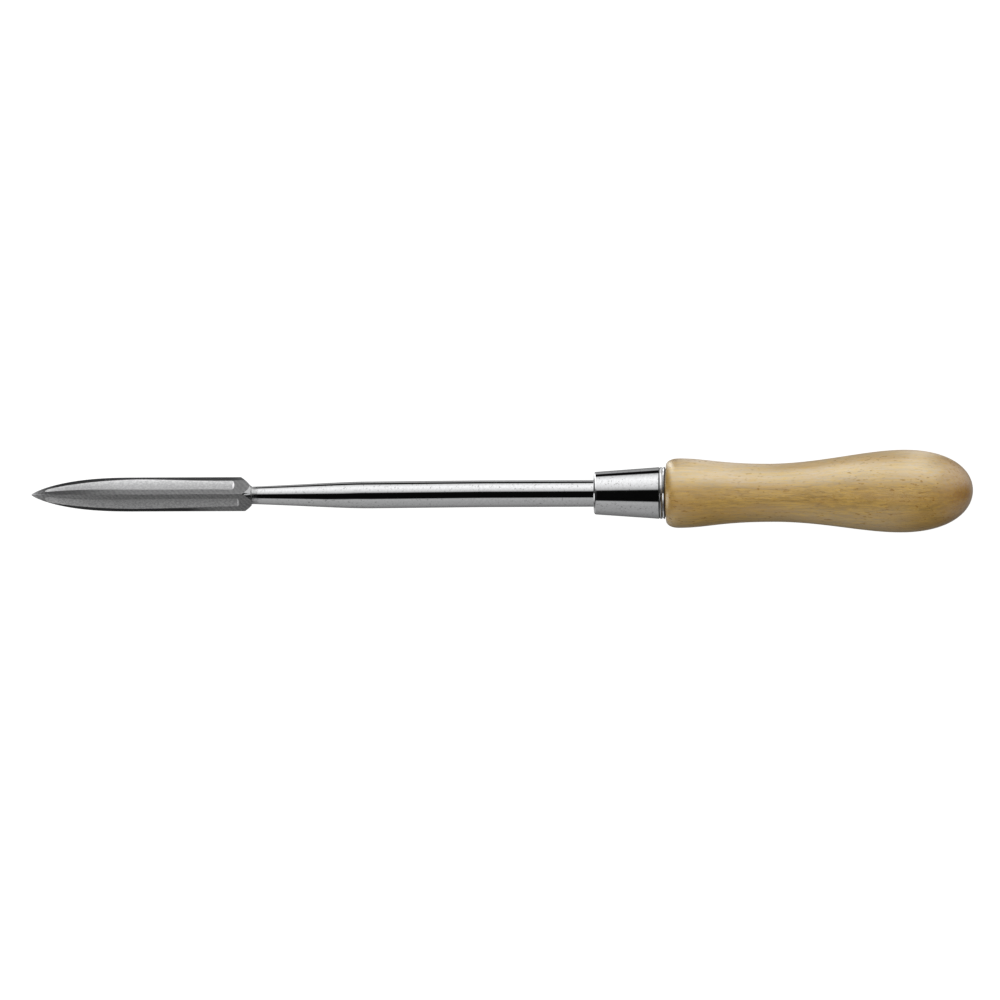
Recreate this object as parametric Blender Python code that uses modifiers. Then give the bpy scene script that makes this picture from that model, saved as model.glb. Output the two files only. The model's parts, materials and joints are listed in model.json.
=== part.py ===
"""Triangular scraper: a hollow-ground three-edged blade on a round shank, a ferrule and a turned beech handle.

Each piece is drawn about the local Z axis with the blade's tip at the origin and the handle below it, so a distance
from the tip is a depth under the origin. An empty then lays the tool on its side: one face of the blade turned down,
one cutting edge on top, the tip towards -X and the handle towards +X.
"""

import math

import bmesh
import bpy
import numpy as np
from mathutils import Euler, Vector

MM = 0.001

# Blade: three cutting edges, each this far from the axis, that curve in to the tip along the nose.
EDGE_RADIUS = 7.2 * MM
NOSE_LENGTH = 39.1 * MM
EDGE_LENGTH = 39.6 * MM
NOSE_FULLNESS = 2.6
NOSE_BLUNTNESS = 0.79
TIP_RADIUS = 0.06 * MM

# Flutes: one hollow along each face, with a plain heel left behind it.
FLUTE_RADIUS = 9.3 * MM
FLUTE_START = 5.0 * MM
FLUTE_HEEL = 3.0 * MM
FLUTE_END_DEPTH = 0.8 * MM
FLUTE_BELLY = 0.72 * MM
FLUTE_RUNOUT = 0.5 * MM

# Shoulder, neck and shank, turned about the axis.
SHOULDER_LENGTH = 2.8 * MM
NECK_RADIUS = 3.13 * MM
NECK_FILLET = 0.6 * MM
TAPER_LENGTH = 45.1 * MM
SHANK_RADIUS = 4.87 * MM
SHANK_LENGTH = 82.2 * MM

# Pulls of the taper's curve, as shares of its rise and length: where it leaves the neck and meets the shank.
NECK_PULL_RISE = 0.6
NECK_PULL_LENGTH = 0.58
SHANK_PULL_LENGTH = 0.26

# Tang: a square spike inside the handle.
TANG_LENGTH = 62.0 * MM
TANG_STEP = 0.4 * MM
TANG_TIP_WIDTH = 3.5 * MM

# Ferrule: a conical cup with a hole for the shank and a rolled bead round its rear rim.
FERRULE_LENGTH = 26.5 * MM
FERRULE_FRONT_RADIUS = 7.8 * MM
FERRULE_REAR_RADIUS = 9.65 * MM
FERRULE_WALL = 1.0 * MM
FERRULE_FRONT_WALL = 1.2 * MM
FERRULE_CORNER = 0.7 * MM
BEAD_WIDTH = 1.7 * MM
BEAD_HEIGHT = 0.35 * MM
BEAD_GROOVE = 0.5 * MM

# Handle: front corner, waist, swell and rounded butt, one after another behind the ferrule.
HANDLE_LIP = 0.8 * MM
HANDLE_CORNER_LENGTH = 4.9 * MM
HANDLE_SHOULDER_RADIUS = 12.91 * MM
HANDLE_WAIST_LENGTH = 33.6 * MM
HANDLE_WAIST_RADIUS = 10.8 * MM
HANDLE_SWELL_LENGTH = 49.6 * MM
HANDLE_SWELL_RADIUS = 15.35 * MM
HANDLE_BUTT_LENGTH = 25.9 * MM
TENON_CHAMFER = 1.0 * MM

# Pulls of the handle's curves, as shares of the rise or length that each one spans.
FACE_PULL = 0.1
CORNER_PULL = 0.93
SHOULDER_PULL = 0.3
WAIST_FRONT_PULL = 0.55
WAIST_REAR_PULL = 0.39
SWELL_FRONT_PULL = 0.3
SWELL_REAR_PULL = 0.66
BUTT_PULL = 0.53

# The gap between pieces that are driven or pressed together.
CLEARANCE = 0.3 * MM

# How finely round shapes are divided, and how far helper solids reach past what they cut.
ROUND_SIDES = 48
FLUTE_SIDES = 96
NOSE_STATIONS = 14
NOSE_CROWDING = 1.6
FLUTE_STATIONS = 16
SMALL_STEPS = 4
TAPER_STEPS = 9
BEAD_STEPS = 6
CORNER_STEPS = 6
WAIST_STEPS = 7
SWELL_STEPS = 11
BUTT_STEPS = 10
BLADE_EDGES = 3
REACH = 1.0 * MM
MERGE_DISTANCE = 0.00001
SHARP_ANGLE = math.radians(25)

# Stations along the axis, measured from the tip.
SHOULDER_AT = NOSE_LENGTH + EDGE_LENGTH
NECK_AT = SHOULDER_AT + SHOULDER_LENGTH + NECK_FILLET
SHANK_AT = NECK_AT + TAPER_LENGTH
FERRULE_AT = SHANK_AT + SHANK_LENGTH
SHANK_END = FERRULE_AT + FERRULE_FRONT_WALL
FERRULE_END = FERRULE_AT + FERRULE_LENGTH
TENON_AT = SHANK_END + CLEARANCE
HANDLE_AT = FERRULE_END + CLEARANCE

# Radii that follow from a neighbour's.
TANG_ROOT_CORNER = SHANK_RADIUS - TANG_STEP
TANG_TIP_CORNER = TANG_TIP_WIDTH / math.sqrt(2)
FERRULE_HOLE_RADIUS = SHANK_RADIUS + CLEARANCE
FERRULE_FRONT_INNER = FERRULE_FRONT_RADIUS - FERRULE_WALL
FERRULE_REAR_INNER = FERRULE_REAR_RADIUS - FERRULE_WALL - BEAD_HEIGHT
HANDLE_FACE_RADIUS = FERRULE_REAR_RADIUS + HANDLE_LIP


def clear_scene():
    for obj in list(bpy.data.objects):
        bpy.data.objects.remove(obj)


def new_collection(name):
    collection = bpy.data.collections.new(name)
    bpy.context.scene.collection.children.link(collection)
    return collection


def material(name, color, roughness, metallic):
    made = bpy.data.materials.new(name)
    made.use_nodes = True
    shader = made.node_tree.nodes["Principled BSDF"]
    shader.inputs["Base Color"].default_value = (*color, 1.0)
    shader.inputs["Roughness"].default_value = roughness
    shader.inputs["Metallic"].default_value = metallic
    return made


def bezier(start, start_pull, end_pull, end, steps):
    """Points of a cubic curve from start to end, leaving out the start."""
    points = []
    for step in range(1, steps + 1):
        t = step / steps
        weights = ((1 - t) ** 3, 3 * t * (1 - t) ** 2, 3 * t * t * (1 - t), t**3)
        corners = (start, start_pull, end_pull, end)
        points.append(tuple(sum(w * c[i] for w, c in zip(weights, corners)) for i in range(2)))
    return points


def turned(name, outline, collection, sides=ROUND_SIDES, ring=False):
    """A solid turned about Z from (radius, distance from the tip) points, a closed section for a ring."""
    mesh = bpy.data.meshes.new(name)
    points = [(radius, 0.0, -distance) for radius, distance in outline]
    edges = [(i, i + 1) for i in range(len(points) - 1)]
    if ring:
        edges.append((len(points) - 1, 0))
    mesh.from_pydata(points, edges, [])
    obj = bpy.data.objects.new(name, mesh)
    collection.objects.link(obj)
    screw = obj.modifiers.new("Turn", "SCREW")
    screw.steps = sides
    screw.render_steps = sides
    screw.use_merge_vertices = True
    screw.merge_threshold = MERGE_DISTANCE
    return obj


def as_helper(obj):
    obj.hide_render = True
    obj.display_type = "WIRE"
    return obj


def combine(obj, operation, other):
    boolean = obj.modifiers.new(f"{operation.title()} {other.name}", "BOOLEAN")
    boolean.operation = operation
    boolean.solver = "EXACT"
    boolean.object = other


def settle(obj, look):
    """Turns the object's modifiers into its own mesh, shaded smooth up to its sharp edges."""
    graph = bpy.context.evaluated_depsgraph_get()
    mesh = bpy.data.meshes.new_from_object(obj.evaluated_get(graph))
    obj.modifiers.clear()
    obj.data = mesh
    mesh.shade_smooth()
    mesh.set_sharp_from_angle(angle=SHARP_ANGLE)
    mesh.materials.clear()
    mesh.materials.append(look)


def edge_radius(distance):
    """How far the cutting edges lie from the axis, this far from the tip."""
    if distance >= NOSE_LENGTH:
        return EDGE_RADIUS
    left = 1 - distance / NOSE_LENGTH
    return TIP_RADIUS + (EDGE_RADIUS - TIP_RADIUS) * (1 - left**NOSE_FULLNESS) ** NOSE_BLUNTNESS


def face_distance(distance):
    """How far the middle of each face lies from the axis."""
    return edge_radius(distance) * math.cos(math.pi / BLADE_EDGES)


def blade_blank(collection):
    """The plain three-edged bar, whose edges curve in to the tip. It runs on into the neck to be turned down."""
    shares = [(i / NOSE_STATIONS) ** NOSE_CROWDING for i in range(NOSE_STATIONS + 1)]
    stations = [NOSE_LENGTH * share for share in shares]
    stations.append(NECK_AT + REACH)
    outline = [(0.0, 0.0)] + [(edge_radius(s), s) for s in stations] + [(0.0, stations[-1])]
    return turned("scraper_blade", outline, collection, sides=BLADE_EDGES)


def shank_stock(collection):
    """Round stock that joins the bar inside its neck and reaches the shank's end."""
    radius, end = SHANK_RADIUS + REACH, SHANK_END + REACH
    outline = [(0.0, NECK_AT), (radius, NECK_AT), (radius, end), (0.0, end)]
    return as_helper(turned("shank_stock", outline, collection))


def turning_envelope(collection):
    """The outline that the bar and its stock are turned down to: shoulder, neck, taper and shank."""
    slope = SHOULDER_LENGTH / (EDGE_RADIUS - NECK_RADIUS - NECK_FILLET)
    cone_start = (EDGE_RADIUS + REACH, SHOULDER_AT - REACH * slope)
    fillet_start = (NECK_RADIUS + NECK_FILLET, SHOULDER_AT + SHOULDER_LENGTH)
    neck = (NECK_RADIUS, NECK_AT)
    fillet_corner = (NECK_RADIUS, SHOULDER_AT + SHOULDER_LENGTH + NECK_FILLET / 2)
    shank = (SHANK_RADIUS, SHANK_AT)
    rise = SHANK_RADIUS - NECK_RADIUS
    neck_pull = (NECK_RADIUS + NECK_PULL_RISE * rise, NECK_AT + NECK_PULL_LENGTH * TAPER_LENGTH)
    shank_pull = (SHANK_RADIUS, SHANK_AT - SHANK_PULL_LENGTH * TAPER_LENGTH)
    outline = [(0.0, -REACH), (cone_start[0], -REACH), cone_start, fillet_start]
    outline += bezier(fillet_start, fillet_corner, fillet_corner, neck, SMALL_STEPS)
    outline += bezier(neck, neck_pull, shank_pull, shank, TAPER_STEPS)
    outline += [(SHANK_RADIUS, SHANK_END), (0.0, SHANK_END)]
    return as_helper(turned("turning_envelope", outline, collection))


def flute_depth(share):
    """Depth under the flat face: none at the front, most near the middle, less again at the heel."""
    return FLUTE_END_DEPTH * share + FLUTE_BELLY * math.sin(math.pi * share)


def flute_wheels(collection):
    """A barrel-shaped wheel beside each face, whose outline follows the nose and grinds the hollow."""
    end = SHOULDER_AT - FLUTE_HEEL
    axis_distance = face_distance(NOSE_LENGTH) + FLUTE_RADIUS - FLUTE_END_DEPTH
    outline = []
    for i in range(FLUTE_STATIONS + 1):
        share = i / FLUTE_STATIONS
        at = FLUTE_START + (end - FLUTE_RUNOUT - FLUTE_START) * share
        outline.append((axis_distance - face_distance(at) + flute_depth(share), at))
    front, rear = outline[0], outline[-1]
    outline.insert(0, (front[0] - REACH, FLUTE_START - REACH))
    outline.insert(0, (0.0, FLUTE_START - REACH))
    outline.append((rear[0] - FLUTE_END_DEPTH, end))
    outline.append((rear[0] - FLUTE_END_DEPTH - REACH, end + FLUTE_RUNOUT))
    outline.append((0.0, end + FLUTE_RUNOUT))
    wheels = []
    for face in range(BLADE_EDGES):
        angle = (2 * face + 1) * math.pi / BLADE_EDGES
        wheel = as_helper(turned(f"flute_wheel_{face + 1}", outline, collection, sides=FLUTE_SIDES))
        wheel.location = (axis_distance * math.cos(angle), axis_distance * math.sin(angle), 0.0)
        wheels.append(wheel)
    return wheels


def tang_spike(name, collection, grown=0.0):
    """The square tang, from inside the shank's end to its tip, grown on every side for the hole it is driven into."""
    start, end = SHANK_END - REACH, SHANK_END + TANG_LENGTH + grown
    corner = grown * math.sqrt(2)
    shape = bmesh.new()
    bmesh.ops.create_cone(
        shape,
        cap_ends=True,
        segments=4,
        radius1=TANG_TIP_CORNER + corner,
        radius2=TANG_ROOT_CORNER + corner,
        depth=end - start,
    )
    bmesh.ops.translate(shape, verts=shape.verts, vec=(0.0, 0.0, -(start + end) / 2))
    mesh = bpy.data.meshes.new(name)
    shape.to_mesh(mesh)
    shape.free()
    obj = bpy.data.objects.new(name, mesh)
    collection.objects.link(obj)
    return as_helper(obj)


def scraper_blade(parts, helpers):
    blade = blade_blank(parts)
    combine(blade, "UNION", shank_stock(helpers))
    combine(blade, "INTERSECT", turning_envelope(helpers))
    for wheel in flute_wheels(helpers):
        combine(blade, "DIFFERENCE", wheel)
    combine(blade, "UNION", tang_spike("tang", helpers))
    settle(blade, material("ground steel", (0.35, 0.35, 0.35), 0.3, 1.0))
    return blade


def ferrule(parts):
    bead_at = FERRULE_END - BEAD_WIDTH
    groove_at = bead_at - BEAD_GROOVE
    groove_radius = FERRULE_REAR_RADIUS - BEAD_HEIGHT
    corner_start = (FERRULE_FRONT_RADIUS - FERRULE_CORNER, FERRULE_AT)
    corner_pull = (FERRULE_FRONT_RADIUS, FERRULE_AT)
    corner_end = (FERRULE_FRONT_RADIUS, FERRULE_AT + FERRULE_CORNER)
    bead_start, bead_end = (groove_radius, bead_at), (groove_radius, FERRULE_END)
    # A cubic curve rises to three quarters of its pulls.
    crest = groove_radius + BEAD_HEIGHT / 0.75
    outline = [(FERRULE_HOLE_RADIUS, FERRULE_AT), corner_start]
    outline += bezier(corner_start, corner_pull, corner_pull, corner_end, SMALL_STEPS)
    outline += [(FERRULE_REAR_RADIUS, groove_at), (groove_radius, bead_at - BEAD_GROOVE / 2), bead_start]
    outline += bezier(bead_start, (crest, bead_at), (crest, FERRULE_END), bead_end, BEAD_STEPS)
    outline += [
        (FERRULE_REAR_INNER, FERRULE_END),
        (FERRULE_FRONT_INNER, SHANK_END),
        (FERRULE_HOLE_RADIUS, SHANK_END),
    ]
    made = turned("ferrule", outline, parts, ring=True)
    settle(made, material("bright plating", (0.62, 0.62, 0.63), 0.07, 1.0))
    return made


def handle(parts, helpers):
    tenon_front = FERRULE_FRONT_INNER - CLEARANCE
    tenon_rear = FERRULE_REAR_INNER - CLEARANCE
    face = (HANDLE_FACE_RADIUS, HANDLE_AT)
    shoulder = (HANDLE_SHOULDER_RADIUS, HANDLE_AT + HANDLE_CORNER_LENGTH)
    waist = (HANDLE_WAIST_RADIUS, shoulder[1] + HANDLE_WAIST_LENGTH)
    swell = (HANDLE_SWELL_RADIUS, waist[1] + HANDLE_SWELL_LENGTH)
    butt = (0.0, swell[1] + HANDLE_BUTT_LENGTH)
    rise = HANDLE_SHOULDER_RADIUS - HANDLE_FACE_RADIUS
    outline = [
        (0.0, TENON_AT),
        (tenon_front - TENON_CHAMFER, TENON_AT),
        (tenon_front, TENON_AT + TENON_CHAMFER),
        (tenon_rear, HANDLE_AT),
        face,
    ]
    outline += bezier(
        face,
        (face[0] + FACE_PULL * rise, face[1]),
        (shoulder[0], shoulder[1] - CORNER_PULL * HANDLE_CORNER_LENGTH),
        shoulder,
        CORNER_STEPS,
    )
    outline += bezier(
        shoulder,
        (shoulder[0], shoulder[1] + SHOULDER_PULL * HANDLE_WAIST_LENGTH),
        (waist[0], waist[1] - WAIST_FRONT_PULL * HANDLE_WAIST_LENGTH),
        waist,
        WAIST_STEPS,
    )
    outline += bezier(
        waist,
        (waist[0], waist[1] + WAIST_REAR_PULL * HANDLE_SWELL_LENGTH),
        (swell[0], swell[1] - SWELL_FRONT_PULL * HANDLE_SWELL_LENGTH),
        swell,
        SWELL_STEPS,
    )
    outline += bezier(
        swell,
        (swell[0], swell[1] + SWELL_REAR_PULL * HANDLE_BUTT_LENGTH),
        (BUTT_PULL * HANDLE_SWELL_RADIUS, butt[1]),
        butt,
        BUTT_STEPS,
    )
    made = turned("handle", outline, parts)
    combine(made, "DIFFERENCE", tang_spike("tang_hole", helpers, grown=CLEARANCE))
    settle(made, material("lacquered beech", (0.72, 0.5, 0.26), 0.35, 0.0))
    return made


def corners(obj):
    count = len(obj.data.vertices)
    points = np.empty(count * 3)
    obj.data.vertices.foreach_get("co", points)
    return points.reshape(count, 3)


def lying_turn(blade_points, handle_points):
    """The turn about Y that lays the tool on two edges of its blade and the swell of its handle."""
    low, high = 0.0, math.pi / 4
    for _ in range(60):
        tilt = (low + high) / 2
        up = np.array((math.cos(tilt), 0.0, -math.sin(tilt)))
        if (blade_points @ up).min() > (handle_points @ up).min():
            low = tilt
        else:
            high = tilt
    return Euler((0.0, -math.pi / 2 - tilt, 0.0))


def lay_down(pieces, helpers):
    """Hangs every object on one empty and lays it with the bottom centre of its box at the origin."""
    points = {piece.name: corners(piece) for piece in pieces}
    turn = lying_turn(points["scraper_blade"], points["handle"])
    turned_points = np.vstack(list(points.values())) @ np.array(turn.to_matrix()).T
    lowest, highest = turned_points.min(axis=0), turned_points.max(axis=0)
    middle = (lowest + highest) / 2
    axis = bpy.data.objects.new("tool_axis", None)
    pieces[0].users_collection[0].objects.link(axis)
    for obj in pieces + list(helpers.objects):
        obj.parent = axis
    axis.rotation_euler = turn
    axis.location = -Vector((middle[0], middle[1], lowest[2]))


def main():
    clear_scene()
    parts = new_collection("triangular_scraper")
    helpers = new_collection("cutters")
    pieces = [scraper_blade(parts, helpers), ferrule(parts), handle(parts, helpers)]
    lay_down(pieces, helpers)


main()
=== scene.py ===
"""Looks of a triangular hand scraper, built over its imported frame.

The blade is hollow-ground from a bar, its neck and shank are turned and plated, and a plated ferrule joins
them to a turned beech handle. Each piece is modelled lying along the X axis, from sizes in millimetres, with
the blade's tip at the origin and one cutting edge upwards. Then it is put where the frame holds it.
"""

import json
import logging
import math
from dataclasses import dataclass, field
from enum import Enum
from typing import Any, Callable, Sequence, Union

import bpy
from mathutils import Matrix, Vector


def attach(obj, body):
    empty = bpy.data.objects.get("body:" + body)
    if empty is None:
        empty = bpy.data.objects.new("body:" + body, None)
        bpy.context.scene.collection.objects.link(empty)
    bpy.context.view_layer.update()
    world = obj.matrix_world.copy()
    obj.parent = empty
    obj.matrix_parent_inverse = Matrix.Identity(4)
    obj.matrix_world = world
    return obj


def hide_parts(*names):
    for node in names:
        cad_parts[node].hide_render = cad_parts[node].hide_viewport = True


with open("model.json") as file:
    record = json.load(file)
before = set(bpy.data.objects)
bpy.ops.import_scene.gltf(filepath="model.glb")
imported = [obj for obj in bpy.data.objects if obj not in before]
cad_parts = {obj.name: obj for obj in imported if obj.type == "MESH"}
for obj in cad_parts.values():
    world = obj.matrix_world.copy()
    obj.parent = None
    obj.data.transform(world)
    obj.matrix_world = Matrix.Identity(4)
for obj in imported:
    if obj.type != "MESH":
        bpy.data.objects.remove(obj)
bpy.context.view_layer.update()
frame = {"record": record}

LOG = logging.getLogger("scraper")
MM = 0.001
FACING_X = (math.pi / 2, 0.0, math.pi / 2)

# How far a triangle's faces lie from its middle, and half its width, as shares of its corners' radius.
FACE_SHARE = math.cos(math.radians(60.0))
WIDTH_SHARE = math.sin(math.radians(60.0))

Point = tuple[float, float]
Outline = list[Point]
Colour = tuple[float, float, float, float]
Operand = Union["Value", float, int, Sequence[float]]


class Node(Enum):
    """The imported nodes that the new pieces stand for."""

    BLADE = "scraper_blade"
    FERRULE = "ferrule"
    HANDLE = "handle"


class Slot(Enum):
    """The record's material slots."""

    STEEL = "ground_steel"
    PLATING = "bright_plating"
    BEECH = "lacquered_beech"


class Work(Enum):
    """What one solid does to another."""

    TURN_DOWN = "INTERSECT"
    CUT_AWAY = "DIFFERENCE"
    FORGE_ON = "UNION"


@dataclass(frozen=True)
class ToolAxis:
    """The tool's own axis in the frame.

    Attributes:
        tip: Where the blade's tip is, in metres.
        climb: How far the axis rises from the tip to the butt, in radians.
    """

    tip: Vector
    climb: float

    @classmethod
    def from_seat(cls, seat: dict[str, Any], distance: float, radius: float) -> "ToolAxis":
        """Finds the axis from the seat on the ferrule's front face.

        Args:
            seat: The record's mount on that face.
            distance: How far behind the tip the face is, in millimetres.
            radius: How far above the axis the seat's point is, in millimetres.

        Returns:
            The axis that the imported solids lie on.
        """
        along = -Vector(seat["axis"])
        upwards = Vector((-along.z, 0.0, along.x))
        tip = Vector(seat["pos_m"]) - along * distance * MM - upwards * radius * MM
        return cls(tip, math.atan2(along.z, along.x))

    def matrix(self) -> Matrix:
        """Gives the turn and move from the modelling place to the frame."""
        return Matrix.Translation(self.tip) @ Matrix.Rotation(-self.climb, 4, "Y")


def operator(operation: str, swapped: bool = False) -> Callable[["Value", Operand], "Value"]:
    """Lets one of Python's operators on a value add a Math node.

    Args:
        operation: The node's operation.
        swapped: Whether the value stands behind the operator.

    Returns:
        The operator's method.
    """

    def method(value: "Value", other: Operand) -> "Value":
        """Adds the node."""
        first, second = (other, value) if swapped else (value, other)
        return value.shader.operate(operation, first, second)

    return method


class Value:
    """One socket of a shader. Python's operators on it add Math nodes."""

    __add__ = operator("ADD")
    __radd__ = operator("ADD", swapped=True)
    __sub__ = operator("SUBTRACT")
    __rsub__ = operator("SUBTRACT", swapped=True)
    __mul__ = operator("MULTIPLY")
    __rmul__ = operator("MULTIPLY", swapped=True)
    __truediv__ = operator("DIVIDE")

    def __init__(self, shader: "Shader", socket: bpy.types.NodeSocket | None) -> None:
        """Keeps the shader and the socket that gives the value."""
        self.shader = shader
        self.socket = socket

    def __abs__(self) -> "Value":
        """Drops the sign."""
        return self.shader.operate("ABSOLUTE", self)

    def rise(self, low: float, high: float) -> "Value":
        """Goes smoothly from 0 to 1 between two levels.

        Args:
            low: The level that gives 0.
            high: The level that gives 1, which may be the lower one.

        Returns:
            The smooth step.
        """
        levels = {"Value": self, "From Min": low, "From Max": high}
        return self.shader.node("ShaderNodeMapRange", {"interpolation_type": "SMOOTHSTEP"}, levels)


class Shader:
    """The node tree of one material or of the world."""

    def __init__(self, owner: bpy.types.Material | bpy.types.World) -> None:
        """Empties the owner's node tree.

        Args:
            owner: The material or world to fill.
        """
        owner.use_nodes = True
        self.tree = owner.node_tree
        self.tree.nodes.clear()

    def node(self, kind: str, settings: dict[str, Any] | None = None,
             inputs: dict[str | int, Operand] | None = None, output: str | int = 0) -> Value:
        """Adds one node.

        Args:
            kind: The node's type.
            settings: Its own settings, a ramp's stops among them, set before its sockets.
            inputs: The numbers, colours or links of its sockets.
            output: Which of its outputs is wanted.

        Returns:
            That output, or an empty value for a node that has none.
        """
        made = self.tree.nodes.new(kind)
        for name, setting in (settings or {}).items():
            if name == "stops":
                self.set_stops(made.color_ramp, setting)
            else:
                setattr(made, name, setting)
        for name, given in (inputs or {}).items():
            socket = made.inputs[name]
            if isinstance(given, Value):
                self.tree.links.new(given.socket, socket)
            else:
                socket.default_value = given
        return Value(self, made.outputs[output] if len(made.outputs) else None)

    def operate(self, operation: str, first: Operand, second: Operand = 0.0) -> Value:
        """Adds one Math node.

        Args:
            operation: The node's operation.
            first: Its first value.
            second: Its second value.

        Returns:
            The node's result.
        """
        return self.node("ShaderNodeMath", {"operation": operation}, {0: first, 1: second})

    @staticmethod
    def set_stops(ramp: bpy.types.ColorRamp, stops: Outline) -> None:
        """Fills a ramp with grey stops.

        Args:
            ramp: The ramp to fill.
            stops: Each stop's place and its level.
        """
        while len(ramp.elements) < len(stops):
            ramp.elements.new(1.0)
        for element, (place, level) in zip(ramp.elements, stops):
            element.position = place
            element.color = (level, level, level, 1.0)

    def mix(self, share: Operand, first: Operand, second: Operand) -> Value:
        """Mixes two colours.

        Args:
            share: How much of the second one there is.
            first: The first colour.
            second: The second colour.

        Returns:
            The mixed colour.
        """
        return self.node("ShaderNodeMix", {"data_type": "RGBA"}, {0: share, 6: first, 7: second}, output=2)

    def place(self, axis: ToolAxis) -> Value:
        """Gives a point's place on the tool in millimetres: X along it from the tip, Y sideways, Z up.

        Args:
            axis: The tool's axis.

        Returns:
            The place as a vector.
        """
        point = self.node("ShaderNodeTexCoord", output="Object")
        lying = {
            "Vector": point,
            "Location": axis.tip,
            "Rotation": (0.0, -axis.climb, 0.0),
            "Scale": (MM, MM, MM),
        }
        return self.node("ShaderNodeMapping", {"vector_type": "TEXTURE"}, lying)

    def along(self, place: Value, direction: Sequence[float]) -> Value:
        """Measures a place along one direction.

        Args:
            place: The place as a vector.
            direction: The direction, whose length scales the result.

        Returns:
            The distance as a number.
        """
        both = {0: place, 1: direction}
        return self.node("ShaderNodeVectorMath", {"operation": "DOT_PRODUCT"}, both, output="Value")

    def noise(self, place: Value, stretch: Sequence[float], detail: float = 2.0,
              roughness: float = 0.5) -> Value:
        """Adds a soft random pattern.

        Args:
            place: The place in millimetres.
            stretch: How many features there are to a millimetre in X, Y and Z.
            detail: How many finer patterns are laid over it.
            roughness: How strong the finer ones are.

        Returns:
            The pattern, which stays about one half.
        """
        stretched = self.node("ShaderNodeVectorMath", {"operation": "MULTIPLY"}, {0: place, 1: stretch})
        grain = {"Vector": stretched, "Scale": 1.0, "Detail": detail, "Roughness": roughness}
        return self.node("ShaderNodeTexNoise", None, grain)

    def bump(self, height: Value, depth: float) -> Value:
        """Turns a height pattern into a surface normal.

        Args:
            height: The pattern, from 0 to 1.
            depth: How deep it is in millimetres.

        Returns:
            The normal.
        """
        return self.node("ShaderNodeBump", None, {"Strength": 1.0, "Distance": depth * MM, "Height": height})

    def surface(self, sockets: dict[str, Operand]) -> None:
        """Ends a material with one Principled shader.

        Args:
            sockets: The values or links of the shader's sockets.
        """
        shaded = self.node("ShaderNodeBsdfPrincipled", None, sockets)
        self.node("ShaderNodeOutputMaterial", None, {"Surface": shaded})


class Finish:
    """A finish whose patterns stay in place on the tool.

    Attributes:
        name: The material's name.
    """

    name: str

    def sockets(self, shader: Shader, place: Value) -> dict[str, Operand]:
        """Gives what goes into the Principled shader. Each finish has its own.

        Args:
            shader: The material's nodes.
            place: A point's place on the tool.

        Returns:
            The values and links of the shader's sockets.
        """
        raise NotImplementedError

    def material(self, axis: ToolAxis) -> bpy.types.Material:
        """Makes the material.

        Args:
            axis: The tool's axis, which the patterns follow.

        Returns:
            The finished material.
        """
        made = bpy.data.materials.new(self.name)
        shader = Shader(made)
        shader.surface(self.sockets(shader, shader.place(axis)))
        return made


@dataclass(frozen=True)
class BrightPlating(Finish):
    """Polished plating over steel that isn't quite even.

    Attributes:
        seams: Where each seam with painted shade begins and ends, in millimetres from the tip.
        frayed: Where it is thin enough to show the steel and where it covers it, in millimetres from the tip.
        name: The material's name.
        color: What it reflects.
        tarnish: What its small dull specks reflect.
        seam_shade: The painted shade in its seams, in the groove and in the gap before the handle.
        gloss: Its least and greatest roughness.
        waviness: The depth of the slow waves under it, in millimetres.
    """

    seams: Outline
    frayed: Point
    name: str = "bright_plating"
    color: Colour = (0.8, 0.804, 0.813, 1.0)
    tarnish: Colour = (0.3, 0.3, 0.3, 1.0)
    # Painted shade for the groove and for the gap behind the rim, where little light reaches.
    seam_shade: Colour = (0.12, 0.118, 0.112, 1.0)
    gloss: tuple[float, float] = (0.02, 0.09)
    waviness: float = 0.004

    def sockets(self, shader: Shader, place: Value) -> dict[str, Operand]:
        """Lays out the finish.

        Args:
            shader: The material's nodes.
            place: A point's place on the tool.

        Returns:
            The values and links of the shader's sockets.
        """
        smudges = shader.noise(place, (0.12, 0.3, 0.3), detail=3.0).rise(0.42, 0.72)
        rub = shader.noise(place, (0.9, 6.0, 6.0), detail=2.0).rise(0.5, 0.8)
        least, greatest = self.gloss
        roughness = least + (greatest - least) * (0.7 * smudges + 0.3 * rub)
        specks = shader.noise(place, (1.1, 1.1, 1.1), detail=2.0, roughness=0.6).rise(0.61, 0.72)
        haze = shader.noise(place, (1.1, 1.1, 1.1), detail=3.0, roughness=0.7).rise(0.3, 0.7)
        waves = shader.noise(place, (0.16, 0.3, 0.3), detail=1.0)
        plating = shader.mix(0.16 * haze + 0.5 * specks, self.color, self.tarnish)
        distance = shader.along(place, (1.0, 0.0, 0.0))
        thin, whole = self.frayed
        worn = distance.rise(whole, thin) * (0.6 + 0.8 * haze)
        bare = distance.rise(thin - 0.3, thin + 0.3) * worn.rise(0.3, 0.8)
        plating = shader.mix(0.65 * bare, plating, self.tarnish)
        roughness = roughness + 0.22 * bare
        soft = 0.06
        # Paints shade into the groove and into the gap behind the rim, and dulls them there.
        for start, end in self.seams:
            inside = distance.rise(start - soft, start + soft) * distance.rise(end + soft, end - soft)
            plating = shader.mix(inside, plating, self.seam_shade)
            roughness = roughness + 0.6 * inside
        return {
            "Base Color": plating,
            "Metallic": 1.0,
            "Roughness": roughness,
            "Normal": shader.bump(waves, self.waviness),
        }


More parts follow.
